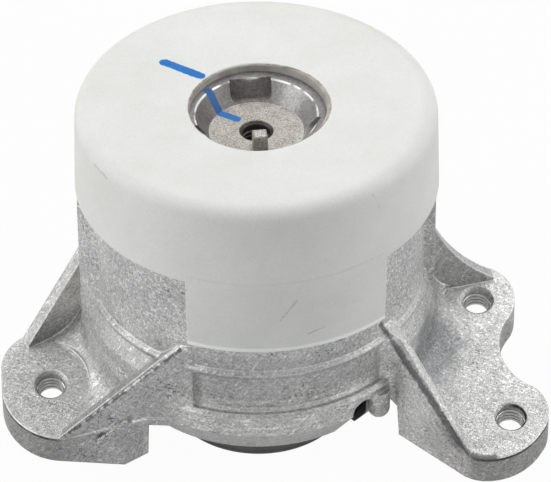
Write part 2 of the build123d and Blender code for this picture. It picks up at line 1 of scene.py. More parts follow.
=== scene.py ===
# %% [markdown]
# # A hydraulic engine mount
#
# The mount is a die-cast aluminium can with three threaded feet. A rubber spring
# inside carries a conical core, and a pale rubber cap keeps heat off the spring.
# The solids come from CAD. This file gives them their finishes, adds the thread turns
# that the CAD leaves out, and sets the light and the camera of a product photograph.

import json
from math import pi, radians

import bpy
from mathutils import Matrix, Vector


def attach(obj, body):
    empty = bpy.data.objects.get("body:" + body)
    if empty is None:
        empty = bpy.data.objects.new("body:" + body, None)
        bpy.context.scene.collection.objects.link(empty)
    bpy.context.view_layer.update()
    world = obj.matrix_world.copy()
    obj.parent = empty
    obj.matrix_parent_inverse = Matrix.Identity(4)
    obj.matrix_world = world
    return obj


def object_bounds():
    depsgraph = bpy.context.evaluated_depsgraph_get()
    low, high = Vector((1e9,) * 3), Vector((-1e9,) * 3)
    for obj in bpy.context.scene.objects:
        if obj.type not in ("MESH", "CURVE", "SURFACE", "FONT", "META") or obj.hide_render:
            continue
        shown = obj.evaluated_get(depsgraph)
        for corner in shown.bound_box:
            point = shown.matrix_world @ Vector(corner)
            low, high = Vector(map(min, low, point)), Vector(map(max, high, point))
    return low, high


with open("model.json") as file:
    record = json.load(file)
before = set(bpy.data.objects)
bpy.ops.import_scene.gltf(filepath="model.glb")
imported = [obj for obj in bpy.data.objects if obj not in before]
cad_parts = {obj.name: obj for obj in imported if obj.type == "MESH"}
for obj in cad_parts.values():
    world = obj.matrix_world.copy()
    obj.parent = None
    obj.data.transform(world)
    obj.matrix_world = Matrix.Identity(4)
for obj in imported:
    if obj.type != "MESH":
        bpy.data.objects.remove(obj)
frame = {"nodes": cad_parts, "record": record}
cad_box = [list(corner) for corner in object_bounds()]
nodes = frame["nodes"]
mounts = {mount["name"]: mount for mount in frame["record"]["mounts"]}
print("CAD nodes:", len(nodes))
print("CAD box in mm:", [[round(1000 * value, 1) for value in corner] for corner in cad_box])

# %% [markdown]
# ## Camera
#
# The photograph looks down on the mount through a long lens, so the verticals stay
# nearly parallel. The camera is placed from its height angle and a small roll rather
# than by hand, because each number then has one meaning that can be adjusted alone.

# %% Camera
MM = 0.001
camera_place = Vector((5.4, -964.9, 829.6)) * MM
camera_elevation = radians(38.5)
camera_roll = radians(-0.4)
camera_lens = 267.35

bpy.ops.object.select_all(action="DESELECT")
bpy.ops.object.camera_add()
camera = bpy.context.object
camera.name = "camera"
camera.matrix_world = (
    Matrix.Translation(camera_place)
    @ Matrix.Rotation(pi / 2 - camera_elevation, 4, "X")
    @ Matrix.Rotation(camera_roll, 4, "Z")
)
camera.data.sensor_width = 36
camera.data.lens = camera_lens
camera.data.clip_end = 20
bpy.context.scene.camera = camera
bpy.context.scene.view_settings.view_transform = "Standard"
print("Camera at", [round(value, 3) for value in camera.location])

# %% [markdown]
# ## A finish and its nodes
#
# A finish is a small tree of shader nodes that ends in the Principled shader. Adding a
# node in code takes three steps: make it, choose its settings, and join or fill its
# sockets. One helper does all three, so that the cells below can say what they mean.

# %% Helpers for nodes
def new_finish(name, color, roughness, metallic=0.0):
    """A material whose Principled shader has these constants."""
    material = bpy.data.materials.new(name)
    material.use_nodes = True
    shader = material.node_tree.nodes["Principled BSDF"]
    shader.inputs["Base Color"].default_value = (*color, 1)
    shader.inputs["Roughness"].default_value = roughness
    shader.inputs["Metallic"].default_value = metallic
    return material


def add_node(material, kind, inputs=(), **settings):
    """A node of this kind with its settings; inputs are (socket, value or output) pairs."""
    node = material.node_tree.nodes.new(kind)
    for key, value in settings.items():
        setattr(node, key, value)
    for socket, value in inputs:
        if isinstance(value, bpy.types.NodeSocket):
            material.node_tree.links.new(value, node.inputs[socket])
        else:
            node.inputs[socket].default_value = value
    return node


def to_shader(material, socket, output):
    """Joins an output to one of the Principled shader's sockets."""
    shader = material.node_tree.nodes["Principled BSDF"]
    material.node_tree.links.new(output, shader.inputs[socket])


def arithmetic(material, operation, first, second=0.0):
    """One step of arithmetic on two numbers."""
    node = add_node(material, "ShaderNodeMath", [(0, first), (1, second)], operation=operation)
    return node.outputs[0]


def vector_step(material, operation, first, second, output=0):
    """One step of arithmetic on two vectors."""
    inputs = [(0, first), (1, second)]
    return add_node(material, "ShaderNodeVectorMath", inputs, operation=operation).outputs[output]


print("Helpers for nodes are ready")

# %% [markdown]
# ## Patterns
#
# Real metal and rubber are never one flat colour. A noise texture gives clouds when it
# is coarse and grain when it is fine. It runs on object coordinates, which are in
# metres here, so a scale of 1000 gives grains of about a millimetre. Drawn out along
# one direction, the same noise turns into brush strokes and scratches.

# %% Helpers for patterns
def place_of(material, centre=(0, 0, 0), turn=(0, 0, 0), stretch=(1, 1, 1)):
    """Object coordinates, moved so that centre is the origin, then turned and stretched."""
    source = add_node(material, "ShaderNodeTexCoord").outputs["Object"]
    moved = vector_step(material, "SUBTRACT", source, centre)
    mapping = add_node(
        material,
        "ShaderNodeMapping",
        [("Vector", moved), ("Rotation", turn), ("Scale", stretch)],
        vector_type="TEXTURE",
    )
    return mapping.outputs["Vector"]


def noise(material, scale, detail=3.0, roughness=0.5, distortion=0.0, where=None):
    """A noise pattern from 0 to 1 with this many waves per metre."""
    vector = where if where is not None else place_of(material)
    shape = [("Scale", scale), ("Detail", detail), ("Roughness", roughness)]
    inputs = [("Vector", vector), ("Distortion", distortion), *shape]
    return add_node(material, "ShaderNodeTexNoise", inputs).outputs["Fac"]


def ramp(material, value, stops):
    """Colours between stops of (place, grey or colour)."""
    node = add_node(material, "ShaderNodeValToRGB", [("Fac", value)])
    elements = node.color_ramp.elements
    while len(elements) < len(stops):
        elements.new(0.5)
    for element, (place, color) in zip(elements, stops):
        element.position = place
        if isinstance(color, (int, float)):
            color = (color, color, color)
        element.color = (*color, 1)
    return node.outputs["Color"]


def streaks(material, scale, turn, stretch, stops, detail=2.0, roughness=0.5, distortion=0.0):
    """Noise drawn out into lines: turned by these degrees and stretched this many times."""
    drawn = place_of(material, turn=[radians(angle) for angle in turn], stretch=stretch)
    return ramp(material, noise(material, scale, detail, roughness, distortion, drawn), stops)


print("Helpers for patterns are ready")

# %% [markdown]
# ## Masks
#
# A mask is a number that is 1 where a layer shows and 0 elsewhere. A soft step turns a
# measure, such as the height, into a mask, and the product of several masks keeps only
# the place where all of them are 1. That is enough to pick out a wall or a foot of the
# casting without cutting the CAD solid into pieces.

# %% Helpers for masks
def step(material, value, low, high, start=0.0, end=1.0):
    """A soft step: start below low, end above high."""
    limits = [("From Min", low), ("From Max", high), ("To Min", start), ("To Max", end)]
    return add_node(material, "ShaderNodeMapRange", [("Value", value), *limits]).outputs["Result"]


def both(material, *masks):
    """The product of several masks or shares: 1 only where all of them are."""
    result = masks[0]
    for mask in masks[1:]:
        result = arithmetic(material, "MULTIPLY", result, mask)
    return result


def parts_of(material, vector):
    """The x, y and z of a vector."""
    return add_node(material, "ShaderNodeSeparateXYZ", [("Vector", vector)]).outputs


def from_axis(material, centre=(0, 0, 0)):
    """Distance from the mount's upright axis, or from an upright line through centre."""
    flat = vector_step(material, "MULTIPLY", place_of(material, centre), (1, 1, 0))
    return add_node(
        material, "ShaderNodeVectorMath", [(0, flat)], operation="LENGTH"
    ).outputs["Value"]


def measure(material, name):
    """x, y, height, across (from the middle plane) or radius (from the axis) of a point."""
    if name == "radius":
        return from_axis(material)
    parts = parts_of(material, place_of(material))
    if name == "across":
        return arithmetic(material, "ABSOLUTE", parts["X"])
    return parts[{"x": "X", "y": "Y", "height": "Z"}[name]]


def zone(material, **limits):
    """1 where every named measure is past its second limit, 0 up to its first; in mm."""
    masks = [
        step(material, measure(material, name), outside * MM, inside * MM)
        for name, (outside, inside) in limits.items()
    ]
    return both(material, *masks)


print("Helpers for masks are ready")

# %% [markdown]
# ## Layers
#
# A finish is built as a painter would build it: a ground colour, then tints that
# multiply it, then soil and wear that cover it. Each layer is a row of a mask, its
# strength, its colour and how it mixes, so that the order can be read from top to bottom.
# Relief is a bump, and a Bevel node rounds sharp CAD edges in the shading alone.

# %% Helpers for layers and relief
TINT = "MULTIPLY"
COVER = "MIX"


def blend(material, factor, first, second, mode=COVER):
    """Two colours mixed by a factor."""
    node = add_node(material, "ShaderNodeMix", [(0, factor)], data_type="RGBA", blend_type=mode)
    for socket, value in ((6, first), (7, second)):
        if isinstance(value, bpy.types.NodeSocket):
            material.node_tree.links.new(value, node.inputs[socket])
        else:
            node.inputs[socket].default_value = (*value, 1)
    return node.outputs[2]


def layered(material, color, layers):
    """A colour with layers of (mask, strength, colour, mode) laid over it in turn."""
    for mask, strength, over, mode in layers:
        color = blend(material, both(material, mask, strength), color, over, mode)
    return color


def bump(material, height, distance, normal=None, strength=1.0):
    """A bump of this height in metres, on top of another normal if there is one."""
    inputs = [("Height", height), ("Distance", distance), ("Strength", strength)]
    if normal is not None:
        inputs.append(("Normal", normal))
    return add_node(material, "ShaderNodeBump", inputs).outputs["Normal"]


def rounded_edges(material, radius):
    """The normal with rounded edges, and how near it is to the true one: 1 away from edges."""
    rounded = add_node(material, "ShaderNodeBevel", [("Radius", radius)], samples=6)
    normal = rounded.outputs["Normal"]
    true_normal = add_node(material, "ShaderNodeNewGeometry").outputs["Normal"]
    return normal, vector_step(material, "DOT_PRODUCT", normal, true_normal, "Value")


print("Helpers for layers and relief are ready")

# %% [markdown]
# ## Strokes
#
# Somebody marked the mount with a blue paint pen: one short stroke runs over the cap
# and on down into the cup. A stroke is the set of points within half a width of a line
# from point to point. Seen from above it needs only x and y, and a scratch on a wall
# needs all three. A little noise frays its edge.

# %% Stroke mask
def stroke(material, points, width, fray=0.25, core=0.84):
    """1 within half a width of the line through these points, 0 outside; in millimetres.

    Points of two numbers are seen from above. The share of the width given by core is
    full, and the rest fades out."""
    keep = Vector((1, 1, 0)) if len(points[0]) == 2 else Vector((1, 1, 1))
    uneven = arithmetic(material, "SUBTRACT", noise(material, 900, 4), 0.5)
    ragged = arithmetic(material, "MULTIPLY", uneven, width * fray * MM)
    mask = None
    for start, end in zip(points, points[1:]):
        first = Vector(start).to_3d() * MM
        along = Vector(end).to_3d() * MM - first
        offset = vector_step(material, "MULTIPLY", place_of(material, first), keep)
        share = vector_step(
            material, "DOT_PRODUCT", offset, along / along.length_squared, "Value"
        )
        held = add_node(material, "ShaderNodeClamp", [("Value", share)]).outputs[0]
        nearest = add_node(
            material, "ShaderNodeVectorMath", [(0, along), ("Scale", held)], operation="SCALE"
        ).outputs[0]
        apart = vector_step(material, "DISTANCE", offset, nearest, "Value")
        apart = arithmetic(material, "ADD", apart, ragged)
        inside = step(material, apart, 0.5 * width * MM, 0.5 * core * width * MM)
        mask = inside if mask is None else arithmetic(material, "MAXIMUM", mask, inside)
    return mask


blue_paint = (0.001, 0.165, 0.53)
pen_width = 2.9
print("Paint colour:", blue_paint)

# %% [markdown]
# ## Cast aluminium: the skin
#
# A die casting is dull grey. Its skin has clouds where the metal chilled, a fine grain
# and a few dark pores. All of these are patterns, so no picture is needed.

# %% Skin of the casting
casting = new_finish("cast_aluminium", (0.44, 0.44, 0.43), 0.4, metallic=0.7)
clouds = ramp(
    casting,
    noise(casting, 60, 3, 0.5),
    ((0.3, (0.42, 0.42, 0.415)), (0.7, (0.53, 0.53, 0.52))),
)
grain = ramp(
    casting, noise(casting, 1400, 3, 0.6, distortion=1.6), ((0.32, 0.5), (0.5, 0.93), (0.68, 1.4))
)
pores = both(
    casting,
    step(casting, noise(casting, 1100, 2, 0.5), 0.42, 0.36),
    step(casting, noise(casting, 95, 3, 0.6), 0.55, 0.64),
)
print("Ground, grain and pores of", casting.name)

# %% [markdown]
# ## Cast aluminium: lines in the skin
#
# The upper wall was brushed, the collar was dragged out of the die, and handling left
# scratches all over. Each is the same noise, drawn out along its own direction.

# %% Lines in the skin
brushing = streaks(casting, 1500, (0, -48, 0), (1, 1, 5), ((0.35, 0.84), (0.62, 1.2)))
scratches = streaks(
    casting,
    1500,
    (15, 38, 25),
    (1, 1, 6),
    ((0.3, 0.66), (0.42, 1.0), (0.58, 1.0), (0.7, 1.6)),
    distortion=0.3,
)
scuffs = streaks(
    casting,
    1500,
    (-20, -75, 0),
    (1, 1, 6),
    ((0.3, 0.7), (0.42, 1.0), (0.58, 1.0), (0.7, 1.5)),
    distortion=0.3,
)
dragging = streaks(
    casting,
    1300,
    (0, 0, 0),
    (8, 8, 1),
    ((0.4, 0.9), (0.58, 1.0), (0.68, 1.45)),
    detail=3,
    roughness=0.6,
)
print("Brushing, scratches, scuffs and drag lines are ready")

# %% [markdown]
# ## Cast aluminium: walls and feet
#
# The can's upper wall is brushed and light. Painted shade darkens the feet's sides, the
# left foot's top and the inside of the bore, and painted light brightens the side strips,
# the collar's upright faces, the right block's side and the inside of the left rib. The
# collar also has drag lines from the die. Each zone is found by its place and by the way
# its surface faces.

# %% Zones of the casting
facing = parts_of(casting, add_node(casting, "ShaderNodeNewGeometry").outputs["Normal"])
upright = step(casting, arithmetic(casting, "ABSOLUTE", facing["Z"]), 0.45, 0.25)
upper_wall = zone(casting, height=(55, 62), radius=(58, 53))
middle_wall = zone(casting, across=(30, 36), radius=(56, 53), height=(34, 38))
# Painted light: upright faces of the side strips are lightened in the layers below.
side_wall_painted_light = both(casting, upright, middle_wall, zone(casting, height=(62, 56)))
lower_band = both(casting, upright, zone(casting, radius=(54, 52), height=(41, 40)))
# Painted shade: upright faces inside the lower bore, seen through the notch, go near black.
inner_bore_painted_shade = both(casting, upright, zone(casting, radius=(48.4, 48.0), height=(37, 36)))
# Painted shade: the feet's upright sides are darkened.
foot_side_painted_shade = both(casting, upright, zone(casting, radius=(62, 74), height=(34, 26)))
foot_top = both(
    casting, step(casting, facing["Z"], 0.85, 0.95), zone(casting, radius=(56, 62), height=(45, 38))
)
# Painted shade: the left foot's top is darker.
left_foot_top_painted_shade = both(casting, foot_top, zone(casting, x=(-48, -68)))
# Painted light: the right block's side, facing left, is lightened.
right_block_side_painted_light = both(
    casting,
    upright,
    zone(casting, x=(33, 36), y=(-28, -31)),
    step(casting, facing["X"], -0.3, -0.5),
)
# Painted light: the front-facing inside of the left rib is lightened.
left_rib_inside_painted_light = both(
    casting,
    upright,
    zone(casting, x=(-50, -53), y=(-14, -10), height=(33, 44)),
    step(casting, facing["Y"], -0.5, -0.8),
)
print("Ten zones of the casting are ready")

# %% [markdown]
# ## Cast aluminium: edges
#
# Handling rubs raised edges bright, and the bright line on upward-facing edges and on the
# feet's rims is also a painted highlight, with a painted shade line just under the rims.
# The Bevel node that rounds the edges also finds them: its normal differs from the true
# one there. The feet's rims are found by their depth under the feet's leaning top plane,
# which is worked out from the seat face in the record.

# %% Edges of the casting
casting_normal, rounding = rounded_edges(casting, 0.9 * MM)
wear = step(casting, noise(casting, 420, 3, 0.6), 0.3, 0.5, 0.3, 1.0)
slot_line = [(-48.8, -43.5, 20.7), (-38.5, -45.0, 30.5)]
around_slot = stroke(casting, slot_line, 7.0, 0.2, core=0.7)
# Worn metal and painted highlight on edges that face upward.
edge_wear_and_highlight = both(
    casting,
    step(casting, rounding, 0.99, 0.86),
    wear,
    step(casting, facing["Z"], 0.3, 0.6, 0.3, 1.0),
    step(casting, around_slot, 0.0, 1.0, 1.0, 0.15),
)

foot_thickness = 8.7 * MM
foot_seat = mounts["left_foot_face"]
above_seat = vector_step(
    casting,
    "DOT_PRODUCT",
    place_of(casting, foot_seat["pos_m"]),
    -Vector(foot_seat["axis"]),
    "Value",
)
foot_depth = arithmetic(casting, "SUBTRACT", foot_thickness, above_seat)
# The right foot reaches further out than the left one, so the limit moves with x.
rightward = arithmetic(casting, "MULTIPLY", measure(casting, "x"), 0.06)
reach = arithmetic(casting, "SUBTRACT", from_axis(casting), rightward)
out_on_foot = step(casting, reach, 75 * MM, 79 * MM)
# Worn metal and painted highlight along the feet's rims.
foot_rim_wear_and_highlight = both(
    casting,
    out_on_foot,
    wear,
    step(casting, foot_depth, 0.01 * MM, 0.08 * MM),
    step(casting, foot_depth, 0.5 * MM, 0.35 * MM),
)
# Painted shade: a dark line just under the feet's rims.
shade_under_rim = both(
    casting,
    out_on_foot,
    step(casting, foot_depth, 0.3 * MM, 0.5 * MM),
    step(casting, foot_depth, 1.5 * MM, 0.9 * MM),
    step(casting, noise(casting, 300, 3), 0.34, 0.5, 0.45, 1.0),
)
print("Feet of", round(foot_thickness / MM, 1), "mm lean along", foot_seat["axis"])

# %% [markdown]
# ## Cast aluminium: painted shade, dirt and raised lines
#
# Painted shade lies along the bevel of the right ridge, dark chips lie along the left one,
# the cast slot is darker inside, and two thin raised lines on the right block get a painted
# highlight. All of these are strokes on the surface, through points given where the
# photograph shows them. A grey smear of dirt and painted shade clouds the right hollow.

# %% Painted shade, dirt and lines on the casting
# Painted shade along the bevel of the right ridge.
ridge_bevel_shade = stroke(
    casting,
    [
        (36.4, -34.3, 57.8),
        (41.5, -35.5, 48.7),
        (49.8, -40.8, 36.8),
        (57.6, -45.8, 25.3),
        (61.8, -48.2, 19.9),
        (65.8, -49.3, 17.9),
        (70.5, -49.3, 18.0),
    ],
    width=2.7,
    fray=0.6,
    core=0.45,
)
left_ridge = [(-57.8, -42.2, 21.7), (-44.1, -43.4, 35.6), (-22.9, -45.3, 57.6)]
chips = both(
    casting,
    stroke(casting, left_ridge, 1.7, 1.0, core=0.35),
    step(casting, noise(casting, 650, 3), 0.44, 0.54),
)
hooked_line = [(42.3, -35.7, 32.1), (44.7, -37.8, 32.8), (46.7, -39.0, 29.3), (46.1, -37.3, 19.8)]
bent_line = [(45.8, -38.6, 32.0), (48.9, -40.9, 29.0), (52.3, -43.2, 23.3)]
# Painted highlight: two thin raised lines on the right block, drawn light.
raised_highlight = arithmetic(
    casting,
    "MAXIMUM",
    stroke(casting, hooked_line, 0.55, 0.9, core=0.4),
    stroke(casting, bent_line, 0.5, 0.9, core=0.4),
)
in_slot = stroke(casting, slot_line, 2.6, 0.4, core=0.6)
# Dirt and painted shade: a grey smear in the hollow beside the right ridge.
smear_middle = Vector((52.5, -15.5, 34)) * MM
uneven = arithmetic(casting, "MULTIPLY", noise(casting, 160, 4, 0.6), 9 * MM)
from_smear = vector_step(casting, "DISTANCE", place_of(casting), smear_middle, "Value")
smear_and_shade = step(casting, arithmetic(casting, "ADD", from_smear, uneven), 18 * MM, 13 * MM)
print("Soil, chips, smear and scribed lines are ready")

# %% [markdown]
# ## Cast aluminium: all layers
#
# The ground colour comes first. Grain and lines cover everything, then each zone gets
# its tint, some of them painted light and some painted shade, and edges, soil, painted
# shade and the raised lines' painted highlight lie on top. A second noise makes the
# polish uneven, and a fine crinkle gives the skin its relief.

# %% Layers of the casting
# The colour of worn metal and of the painted highlight on edges.
bare_and_lit_metal = (0.88, 0.88, 0.86)
skin = blend(casting, 0.9, clouds, grain, TINT)
skin = blend(casting, 0.7, skin, scratches, TINT)
skin = blend(casting, 0.7, skin, scuffs, TINT)
skin = layered(
    casting,
    skin,
    (
        (upper_wall, 0.9, brushing, TINT),
        (upper_wall, 1.0, (1.2, 1.2, 1.2), TINT),
        # Painted light on the side strips.
        (side_wall_painted_light, 1.0, (1.35, 1.35, 1.34), TINT),
        (lower_band, 1.0, dragging, TINT),
        # Painted light on the collar's upright faces; the drag lines above are real.
        (lower_band, 1.0, (1.32, 1.32, 1.3), TINT),
        # Painted shade on the feet's sides.
        (foot_side_painted_shade, 1.0, (0.7, 0.695, 0.69), TINT),
        # Dirt and painted shade in the right hollow.
        (smear_and_shade, 0.85, (0.47, 0.48, 0.5), TINT),
        (pores, 0.7, (0.05, 0.05, 0.05), COVER),
        (foot_top, 1.0, (1.0, 1.0, 0.99), TINT),
        # Painted shade on the left foot's top.
        (left_foot_top_painted_shade, 1.0, (0.86, 0.86, 0.86), TINT),
        # Painted light on the inside of the left rib.
        (left_rib_inside_painted_light, 1.0, (1.6, 1.55, 1.5), TINT),
        # Painted light on the right block's side.
        (right_block_side_painted_light, 1.0, (1.55, 1.54, 1.52), TINT),
        # Worn metal and painted highlight on edges and on the feet's rims.
        (edge_wear_and_highlight, 1.0, bare_and_lit_metal, COVER),
        (foot_rim_wear_and_highlight, 1.0, bare_and_lit_metal, COVER),
        # Painted shade under the feet's rims.
        (shade_under_rim, 1.0, (0.04, 0.04, 0.04), COVER),
        (in_slot, 0.6, (0.5, 0.49, 0.48), TINT),
        # Painted highlight on the raised lines.
        (raised_highlight, 0.8, (0.85, 0.85, 0.83), COVER),
        # Painted shade on the right ridge's bevel.
        (ridge_bevel_shade, 0.85, (0.09, 0.09, 0.09), COVER),
        (chips, 0.8, (0.08, 0.08, 0.08), COVER),
        # Painted shade, near black, inside the lower bore.
        (inner_bore_painted_shade, 1.0, (0.012, 0.012, 0.012), COVER),
    ),
)
to_shader(casting, "Base Color", skin)
polish = step(casting, noise(casting, 210, 5, 0.6), 0.3, 0.7, 0.3, 0.5)
to_shader(casting, "Roughness", polish)
crinkle = noise(casting, 1300, 4, 0.65, distortion=1.0)
to_shader(casting, "Normal", bump(casting, crinkle, 0.28 * MM, casting_normal, 0.8))
print("Made", casting.name)

# %% [markdown]
# ## Cap rubber
#
# The heat shield is moulded in pale EPDM rubber. It is almost white and matt, with a
# painted highlight on its edges and on the lip along the apron's bottom. The wall of the
# hole is darker, a painted shade where the rubber sits over the metal.

# %% Ground, lip and hole of the cap
cap_rubber = new_finish("cap_rubber", (0.82, 0.82, 0.78), 0.55)
cap_rubber.node_tree.nodes["Principled BSDF"].inputs["IOR"].default_value = 1.4
tone = ramp(
    cap_rubber,
    noise(cap_rubber, 45, 5, 0.65),
    ((0.3, (0.785, 0.785, 0.735)), (0.7, (0.855, 0.855, 0.815))),
)
dust = ramp(cap_rubber, noise(cap_rubber, 2200, 2), ((0.3, 0.93), (0.6, 1.0)))
cap_normal, cap_rounding = rounded_edges(cap_rubber, 0.5 * MM)
# Painted highlight along the cap's edges.
cap_edge_highlight = step(cap_rubber, cap_rounding, 0.985, 0.9)
# Painted highlight on the apron's lip; the same mask raises a small bump.
apron_lip_highlight = zone(cap_rubber, height=(65.0, 64.5))

from_mouth = from_axis(cap_rubber, (1.0 * MM, 0.3 * MM, 0))
hole_wall = arithmetic(
    cap_rubber,
    "MAXIMUM",
    step(cap_rubber, from_mouth, 21.0 * MM, 20.8 * MM),
    zone(cap_rubber, radius=(22.6, 22.3), height=(112.1, 111.8)),
)
# Painted shade on the wall of the hole, in a noisy brown-grey.
hole_wall_shade = ramp(
    cap_rubber,
    noise(cap_rubber, 260, 4, 0.6),
    ((0.35, (0.3, 0.275, 0.245)), (0.65, (0.47, 0.44, 0.395))),
)
mouth_line = both(
    cap_rubber,
    step(cap_rubber, from_mouth, 21.25 * MM, 21.05 * MM),
    step(cap_rubber, from_mouth, 20.65 * MM, 20.85 * MM),
    zone(cap_rubber, height=(112.0, 112.3)),
    step(cap_rubber, noise(cap_rubber, 350, 3), 0.35, 0.55, 0.25, 0.9),
)
print("Ground, lip and hole of", cap_rubber.name)

# %% [markdown]
# ## Marks on the cap
#
# The pen's stroke begins on the cap's top. Handling has left faint dark marks on its
# side and its edge. Each is a thin stroke with its own width and grey, through points
# given where the photograph shows it.

# %% Marks and layers of the cap
cap_stroke = stroke(cap_rubber, [(-27.2, 20.7), (-16.6, 15.2)], 3.3)
cap_marks = (
    ([(-46.9, -25.4, 111.2), (-43.0, -31.7, 110.9)], 0.9, (0.52, 0.51, 0.48)),
    ([(33.3, -41.5, 111.7), (35.4, -40.1, 105.8)], 0.5, (0.6, 0.6, 0.56)),
    ([(40.8, -34.6, 102.6), (46.1, -27.1, 89.3)], 0.5, (0.62, 0.62, 0.58)),
    ([(42.8, -32.1, 88.4), (44.4, -29.9, 85.2)], 0.7, (0.4, 0.39, 0.36)),
    ([(-23.7, -48.5, 87.4), (-20.5, -49.9, 84.0)], 0.7, (0.42, 0.41, 0.37)),
    ([(6.8, -53.3, 75.3), (11.4, -52.8, 82.0)], 0.9, (0.55, 0.54, 0.5)),
    ([(14.6, -51.6, 68.6), (19.3, -50.1, 69.9)], 0.6, (0.38, 0.37, 0.34)),
    ([(12.3, -52.6, 70.9), (14.3, -52.1, 67.4)], 0.5, (0.3, 0.29, 0.27)),
)
mark_layers = [
    (stroke(cap_rubber, points, width, 1.4, core=0.3), 0.6, color, COVER)
    for points, width, color in cap_marks
]
cap_color = layered(
    cap_rubber,
    blend(cap_rubber, 1.0, tone, dust, TINT),
    (
        # Painted highlight on the cap's edges.
        (cap_edge_highlight, 0.7, (0.95, 0.94, 0.9), COVER),
        # Painted highlight on the apron's lip.
        (apron_lip_highlight, 1.0, (1.0, 1.0, 0.97), COVER),
        # Painted shade on the hole's wall.
        (hole_wall, 0.85, hole_wall_shade, COVER),
        (mouth_line, 1.0, (0.26, 0.21, 0.16), COVER),
        (cap_stroke, 1.0, blue_paint, COVER),
        *mark_layers,
    ),
)
to_shader(cap_rubber, "Base Color", cap_color)
sheen = step(cap_rubber, noise(cap_rubber, 120, 3), 0.3, 0.7, 0.48, 0.62)
to_shader(cap_rubber, "Roughness", sheen)
cap_relief = bump(cap_rubber, noise(cap_rubber, 1600, 3), 0.03 * MM, cap_normal)
to_shader(cap_rubber, "Normal", bump(cap_rubber, apron_lip_highlight, 0.2 * MM, cap_relief))
print("Made", cap_rubber.name, "with", len(cap_marks), "marks")

# %% [markdown]
# ## The core's cup
#
# The cup is part of the core, smoother and browner than the can. Its wall is a
# cone with three pockets, and a bright line runs where the wall meets the flange. The
# cone's radius at each height tells the pockets and the flange from the wall.

# %% Zones of the cup
core_metal = new_finish("core_metal", (0.34, 0.335, 0.33), 0.5, metallic=0.5)
seat_height = mounts["core_seat"]["pos_m"][2]
cone_slope = 0.667
cone_foot_radius = 14.1 * MM
above_foot = arithmetic(core_metal, "SUBTRACT", measure(core_metal, "height"), seat_height)
widening = arithmetic(core_metal, "MULTIPLY", above_foot, cone_slope)
cone_radius = arithmetic(core_metal, "ADD", widening, cone_foot_radius)
past_cone = arithmetic(core_metal, "SUBTRACT", from_axis(core_metal), cone_radius)
# Painted shade: the pockets are darker.
pocket_shade = both(
    core_metal,
    step(core_metal, past_cone, 0.15 * MM, 0.3 * MM),
    zone(core_metal, height=(109.6, 109.5)),
    zone(core_metal, height=(100, 101)),
)
near_top = zone(core_metal, height=(109.3, 109.5))
# Painted shade: the flange, down under the cap's rim, is darker.
flange = both(core_metal, near_top, step(core_metal, past_cone, 0.1 * MM, 0.3 * MM))
# Painted shade: the cup's left side is darker.
left_cup_shade = zone(core_metal, x=(-2, -11), height=(109.6, 109.5))
from_rim = arithmetic(core_metal, "ABSOLUTE", past_cone)
rim_line = both(
    core_metal,
    near_top,
    step(core_metal, from_rim, 0.3 * MM, 0.12 * MM),
    step(core_metal, noise(core_metal, 300, 3), 0.35, 0.5),
)
print("The cup's seat is at", round(seat_height / MM, 1), "mm")

# %% [markdown]
# ## The core's layers
#
# Pockets, flange and the left side of the cup get painted shade, darker than the rest.
# The pen's stroke runs down the wall in the shade, so its blue is darker than on the cap.

# %% Layers of the cup
core_tone = ramp(
    core_metal,
    noise(core_metal, 110, 4, 0.6),
    ((0.3, (0.27, 0.265, 0.26)), (0.7, (0.4, 0.395, 0.385))),
)
core_grain = ramp(core_metal, noise(core_metal, 1300, 3, 0.6), ((0.35, 0.7), (0.6, 1.1)))
core_stroke = stroke(core_metal, [(-14.3, 11.7), (-10.2, 8.3)], pen_width)
shaded_paint = tuple(0.65 * part for part in blue_paint)
core_color = layered(
    core_metal,
    blend(core_metal, 1.0, core_tone, core_grain, TINT),
    (
        # Painted shade in the pockets.
        (pocket_shade, 1.0, (0.62, 0.6, 0.57), TINT),
        # Painted shade on the flange.
        (flange, 1.0, (0.7, 0.69, 0.68), TINT),
        # Painted shade on the cup's left side.
        (left_cup_shade, 1.0, (0.6, 0.58, 0.55), TINT),
        (rim_line, 1.0, (0.85, 0.85, 0.84), COVER),
        (core_stroke, 1.0, shaded_paint, COVER),
    ),
)
to_shader(core_metal, "Base Color", core_color)
to_shader(core_metal, "Metallic", step(core_metal, core_stroke, 0.0, 1.0, 0.5, 0.0))
to_shader(core_metal, "Normal", bump(core_metal, noise(core_metal, 1100, 3), 0.05 * MM))
print("Made", core_metal.name)

# %% [markdown]
# ## The insert
#
# The insert pressed into the cup has a dull zinc coat, speckled where the coat has
# begun to turn, and its bore is darker with painted shade. The pen's stroke ends on it,
# and paint is no metal, so the metallic value falls to nothing under the stroke.

# %% Insert
insert_zinc = new_finish("insert_zinc", (0.42, 0.39, 0.36), 0.5, metallic=0.4)
zinc_tone = ramp(
    insert_zinc,
    noise(insert_zinc, 260, 5, 0.65),
    ((0.32, (0.38, 0.355, 0.32)), (0.6, (0.5, 0.47, 0.43))),
)
speckle = ramp(
    insert_zinc, noise(insert_zinc, 2300, 3, 0.6), ((0.36, 0.45), (0.5, 1.0), (0.66, 1.25))
)
